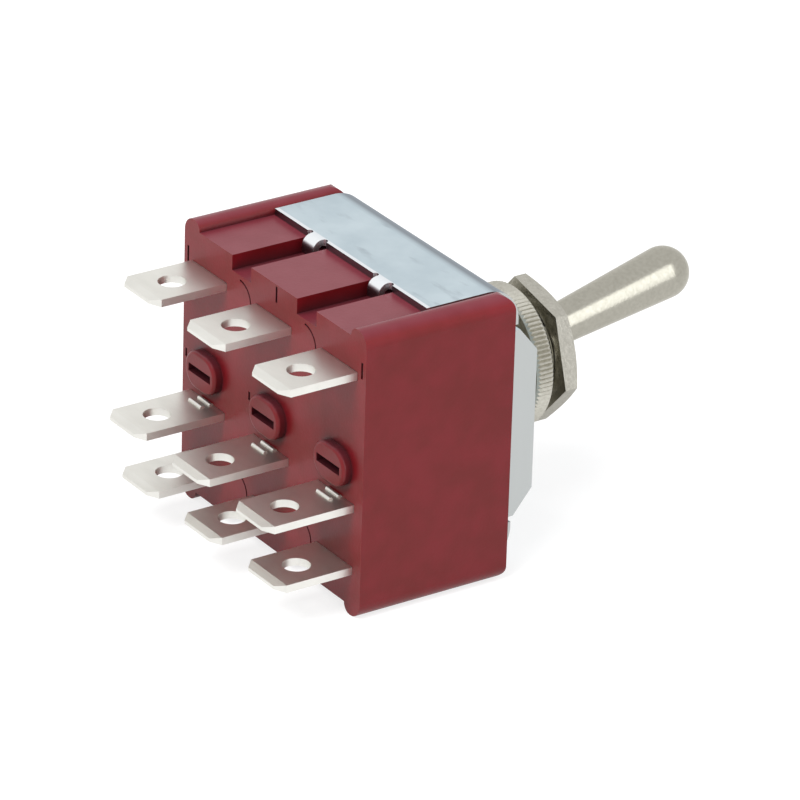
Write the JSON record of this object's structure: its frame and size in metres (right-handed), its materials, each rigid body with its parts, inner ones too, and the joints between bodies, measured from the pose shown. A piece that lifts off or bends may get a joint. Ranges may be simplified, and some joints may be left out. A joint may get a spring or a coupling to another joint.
{
  "type": "panel toggle switch",
  "caption": "Panel-mount toggle switch with a moulded body, a folded steel frame, a threaded bushing, a bat lever and rows of flat blade terminals.",
  "frame": {"origin": "on the bushing's axis, at the front face of the moulded body", "axes": "+Y along the bushing and lever out of the panel, -Y along the blade terminals; +Z towards the lever's upper throw; +X along the row of poles"},
  "size_m": [0.0322, 0.0587, 0.0302],
  "materials": {
    "phenolic": "satin maroon moulding",
    "insulator": "satin",
    "zinc_steel": "zinc plated",
    "nickel": "nickel plated brass, satin",
    "tinned_brass": "tin plated",
    "copper": "bare copper alloy",
    "silver": "bare silver",
    "nylon": "natural",
    "spring_steel": "drawn wire"
  },
  "bodies": {
    "body": {"housing": "phenolic", "cover_plate": "insulator", "steel_frame": "zinc_steel", "bushing": "nickel", "knurled_ring": "nickel", "hex_nut": "nickel", "pivot_pin": "zinc_steel", "upper_tab_1": "tinned_brass", "upper_tab_2": "tinned_brass", "upper_tab_3": "tinned_brass", "common_tab_1": "tinned_brass", "common_tab_2": "tinned_brass", "common_tab_3": "tinned_brass", "lower_tab_1": "tinned_brass", "lower_tab_2": "tinned_brass", "lower_tab_3": "tinned_brass", "upper_contact_1": "silver", "upper_contact_2": "silver", "upper_contact_3": "silver", "lower_contact_1": "silver", "lower_contact_2": "silver", "lower_contact_3": "silver"},
    "lever": {"bat_lever": "nickel"},
    "carriage": {"carriage": "nylon", "plunger_1": "nylon", "plunger_2": "nylon", "plunger_3": "nylon", "spring_1": "spring_steel", "spring_2": "spring_steel", "spring_3": "spring_steel"},
    "rocker_a": {"rocker_1": "copper", "rocker_contacts_1": "silver"},
    "rocker_b": {"rocker_2": "copper", "rocker_contacts_2": "silver"},
    "rocker_c": {"rocker_3": "copper", "rocker_contacts_3": "silver"}
  },
  "joints": [
    {"name": "lever_throw", "type": "hinge", "parent": "body", "child": "lever", "pos_m": [0, 0.0088, 0], "axis": [1, 0, 0], "range_deg": [-25, 0]},
    {"name": "carriage_slide", "type": "slide", "parent": "body", "child": "carriage", "axis": [0, 0, 1], "range_m": [0, 0.0032]},
    {"name": "rocker_a_tilt", "type": "hinge", "parent": "body", "child": "rocker_a", "pos_m": [-0.0115, -0.01102, 0], "axis": [1, 0, 0], "range_deg": [0, 20]},
    {"name": "rocker_b_tilt", "type": "hinge", "parent": "body", "child": "rocker_b", "pos_m": [0, -0.01102, 0], "axis": [1, 0, 0], "range_deg": [0, 20]},
    {"name": "rocker_c_tilt", "type": "hinge", "parent": "body", "child": "rocker_c", "pos_m": [0.0115, -0.01102, 0], "axis": [1, 0, 0], "range_deg": [0, 20]}
  ],
  "couplings": [
    {"joint": "carriage_slide", "follows": "lever_throw", "m_per_rad": -0.0073414},
    {"joint": "rocker_a_tilt", "follows": "lever_throw", "ratio": -0.8},
    {"joint": "rocker_b_tilt", "follows": "lever_throw", "ratio": -0.8},
    {"joint": "rocker_c_tilt", "follows": "lever_throw", "ratio": -0.8}
  ]
}
